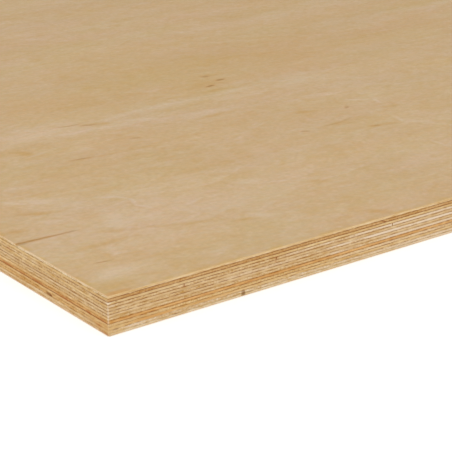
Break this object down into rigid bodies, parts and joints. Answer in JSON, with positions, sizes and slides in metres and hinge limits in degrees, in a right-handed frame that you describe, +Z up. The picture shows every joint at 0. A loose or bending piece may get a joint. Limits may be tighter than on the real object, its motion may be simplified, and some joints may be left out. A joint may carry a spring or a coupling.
{
  "type": "plywood sheet",
  "caption": "Flat rectangular birch plywood sheet of cross-laid veneers with plain sawn edges, stock for joinery, shelving, floors and panels.",
  "frame": {"origin": "middle of the underside, on the plane that the sheet lies on", "axes": "+X along the grain of the face, which is the sheet's length, +Y across it, +Z up through the thickness to the face"},
  "size_m": [2.44, 1.22, 0.018],
  "materials": {
    "face_birch": "sanded, bare",
    "long_birch": "sawn, bare",
    "cross_birch": "sawn, bare"
  },
  "bodies": {
    "root": {"face_veneer": "face_birch", "cross_veneer_02": "cross_birch", "long_veneer_03": "long_birch", "cross_veneer_04": "cross_birch", "long_veneer_05": "long_birch", "cross_veneer_06": "cross_birch", "long_veneer_07": "long_birch", "cross_veneer_08": "cross_birch", "long_veneer_09": "long_birch", "cross_veneer_10": "cross_birch", "long_veneer_11": "long_birch", "cross_veneer_12": "cross_birch", "back_veneer": "face_birch"}
  },
  "joints": []
}
